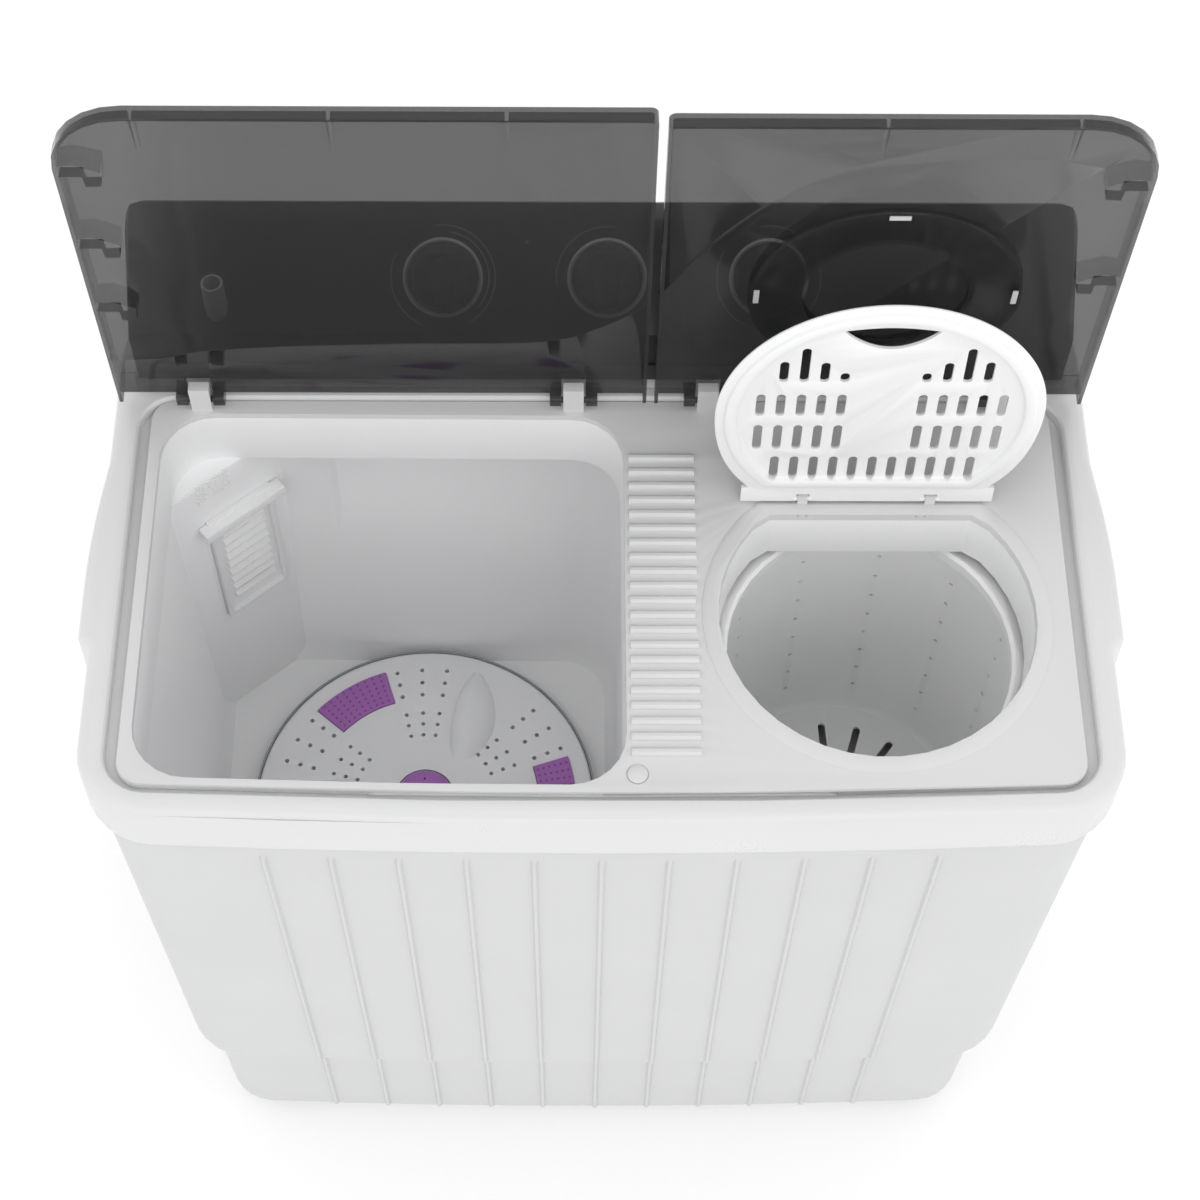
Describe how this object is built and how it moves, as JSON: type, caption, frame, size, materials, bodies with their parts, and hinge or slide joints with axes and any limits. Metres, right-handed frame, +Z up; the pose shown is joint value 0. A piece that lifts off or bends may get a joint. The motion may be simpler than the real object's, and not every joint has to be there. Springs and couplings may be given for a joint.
{
  "type": "top load washing machine",
  "caption": "Twin tub top load washing machine with a pulsator wash tub, a spin basket under a hinged safety cover, smoked see-through lids and a sloping control housing.",
  "frame": {"origin": "on the floor, at the centre of the machine's outline", "axes": "+Z up, +X to the right, +Y to the back, seen by someone who stands in front"},
  "size_m": [0.616, 0.3623, 0.8685],
  "materials": {
    "white_plastic": "satin white moulded plastic",
    "tub_plastic": "smooth pale grey moulded plastic",
    "smoke_plastic": "smoked see-through plastic",
    "black_plastic": "dark moulded plastic",
    "purple_plastic": "satin purple plastic",
    "rubber": "plain rubber",
    "steel": "plain steel",
    "aluminium": "cast aluminium",
    "grey_plastic": "grey moulded plastic"
  },
  "bodies": {
    "machine": {"cabinet_shell": "white_plastic", "left_grip_cup": "white_plastic", "right_grip_cup": "white_plastic", "base_frame": "white_plastic", "foot_front_left": "rubber", "foot_front_right": "rubber", "foot_rear_left": "rubber", "foot_rear_right": "rubber", "rear_cover": "white_plastic", "cable_gland": "black_plastic", "top_rim": "white_plastic", "top_deck": "white_plastic", "deck_screw_plug": "white_plastic", "wash_tub": "tub_plastic", "overflow_cover": "white_plastic", "overflow_pipe": "grey_plastic", "drain_valve_body": "grey_plastic", "drain_pipe": "grey_plastic", "gearbox": "aluminium", "wash_motor": "steel", "drive_belt": "rubber", "spin_outer_tub": "grey_plastic", "spin_seal": "rubber", "spin_motor": "steel", "motor_spring_1": "steel", "motor_spring_2": "steel", "motor_spring_3": "steel", "capacitor": "grey_plastic", "housing_base": "white_plastic", "control_housing": "black_plastic", "wash_timer": "grey_plastic", "drain_selector": "grey_plastic", "spin_timer": "grey_plastic", "water_inlet": "white_plastic"},
    "wash_lid": {"wash_lid": "smoke_plastic"},
    "spin_lid": {"spin_lid": "smoke_plastic", "spin_lid_dish": "smoke_plastic", "dish_clip_1": "white_plastic", "dish_clip_2": "white_plastic", "dish_clip_3": "white_plastic", "dish_clip_4": "white_plastic"},
    "safety_cover": {"safety_cover": "white_plastic"},
    "wash_timer_knob": {"wash_timer_knob": "black_plastic"},
    "drain_selector_knob": {"drain_selector_knob": "black_plastic"},
    "spin_timer_knob": {"spin_timer_knob": "black_plastic"},
    "pulsator": {"pulsator": "tub_plastic", "pulsator_cap": "purple_plastic", "pulsator_pad_1": "purple_plastic", "pulsator_pad_2": "purple_plastic", "pulsator_pad_3": "purple_plastic", "pulsator_shaft": "steel"},
    "gearbox_pulley": {"gearbox_pulley": "grey_plastic"},
    "motor_pulley": {"motor_pulley": "aluminium"},
    "spin_basket": {"spin_basket": "tub_plastic", "balance_ring": "white_plastic", "spin_shaft": "steel", "brake_drum": "aluminium"},
    "brake_lever": {"brake_lever": "steel"},
    "drain_valve_plunger": {"drain_valve_plunger": "rubber"},
    "lint_filter": {"lint_filter": "white_plastic"}
  },
  "joints": [
    {"name": "wash_lid_hinge", "type": "hinge", "parent": "machine", "child": "wash_lid", "pos_m": [0, 0.10175, 0.6], "axis": [1, 0, 0], "range_deg": [0, 89]},
    {"name": "spin_lid_hinge", "type": "hinge", "parent": "machine", "child": "spin_lid", "pos_m": [0, 0.10175, 0.6], "axis": [1, 0, 0], "range_deg": [0, 88.2]},
    {"name": "safety_cover_hinge", "type": "hinge", "parent": "machine", "child": "safety_cover", "pos_m": [0.1598, 0.0332, 0.5965], "axis": [1, 0, 0], "range_deg": [0, 94.5]},
    {"name": "wash_timer_turn", "type": "hinge", "parent": "machine", "child": "wash_timer_knob", "pos_m": [-0.095, 0.13815, 0.675], "axis": [0, -0.7071, 0.7071], "range_deg": [-300, 0]},
    {"name": "drain_selector_turn", "type": "hinge", "parent": "machine", "child": "drain_selector_knob", "pos_m": [0.003, 0.13815, 0.675], "axis": [0, -0.7071, 0.7071], "range_deg": [-70, 0]},
    {"name": "spin_timer_turn", "type": "hinge", "parent": "machine", "child": "spin_timer_knob", "pos_m": [0.0995, 0.13815, 0.675], "axis": [0, -0.7071, 0.7071], "range_deg": [-300, 0]},
    {"name": "pulsator_spin", "type": "hinge", "parent": "machine", "child": "pulsator", "pos_m": [-0.1215, -0.018, 0.271], "axis": [0, 0, 1], "continuous": true},
    {"name": "gearbox_pulley_spin", "type": "hinge", "parent": "machine", "child": "gearbox_pulley", "pos_m": [-0.1215, -0.018, 0.185], "axis": [0, 0, 1], "continuous": true},
    {"name": "motor_pulley_spin", "type": "hinge", "parent": "machine", "child": "motor_pulley", "pos_m": [-0.005, 0.048, 0.185], "axis": [0, 0, 1], "continuous": true},
    {"name": "spin_basket_spin", "type": "hinge", "parent": "machine", "child": "spin_basket", "pos_m": [0.1625, -0.0458, 0.305], "axis": [0, 0, 1], "continuous": true},
    {"name": "brake_lever_swing", "type": "hinge", "parent": "machine", "child": "brake_lever", "pos_m": [0.2245, -0.0458, 0.22], "axis": [0, 0, 1], "range_deg": [-6, 0]},
    {"name": "drain_valve_lift", "type": "slide", "parent": "machine", "child": "drain_valve_plunger", "axis": [0, 0, 1], "range_m": [0, 0.01]},
    {"name": "lint_filter_pull", "type": "slide", "parent": "machine", "child": "lint_filter", "axis": [0.6428, -0.766, 0], "range_m": [0, 0.04]}
  ],
  "couplings": [
    {"joint": "safety_cover_hinge", "follows": "spin_lid_hinge", "ratio": 1.0714},
    {"joint": "brake_lever_swing", "follows": "spin_lid_hinge", "ratio": -0.065},
    {"joint": "drain_valve_lift", "follows": "drain_selector_turn", "m_per_rad": -0.0075},
    {"joint": "gearbox_pulley_spin", "follows": "pulsator_spin", "ratio": 4},
    {"joint": "motor_pulley_spin", "follows": "pulsator_spin", "ratio": 15.467}
  ]
}
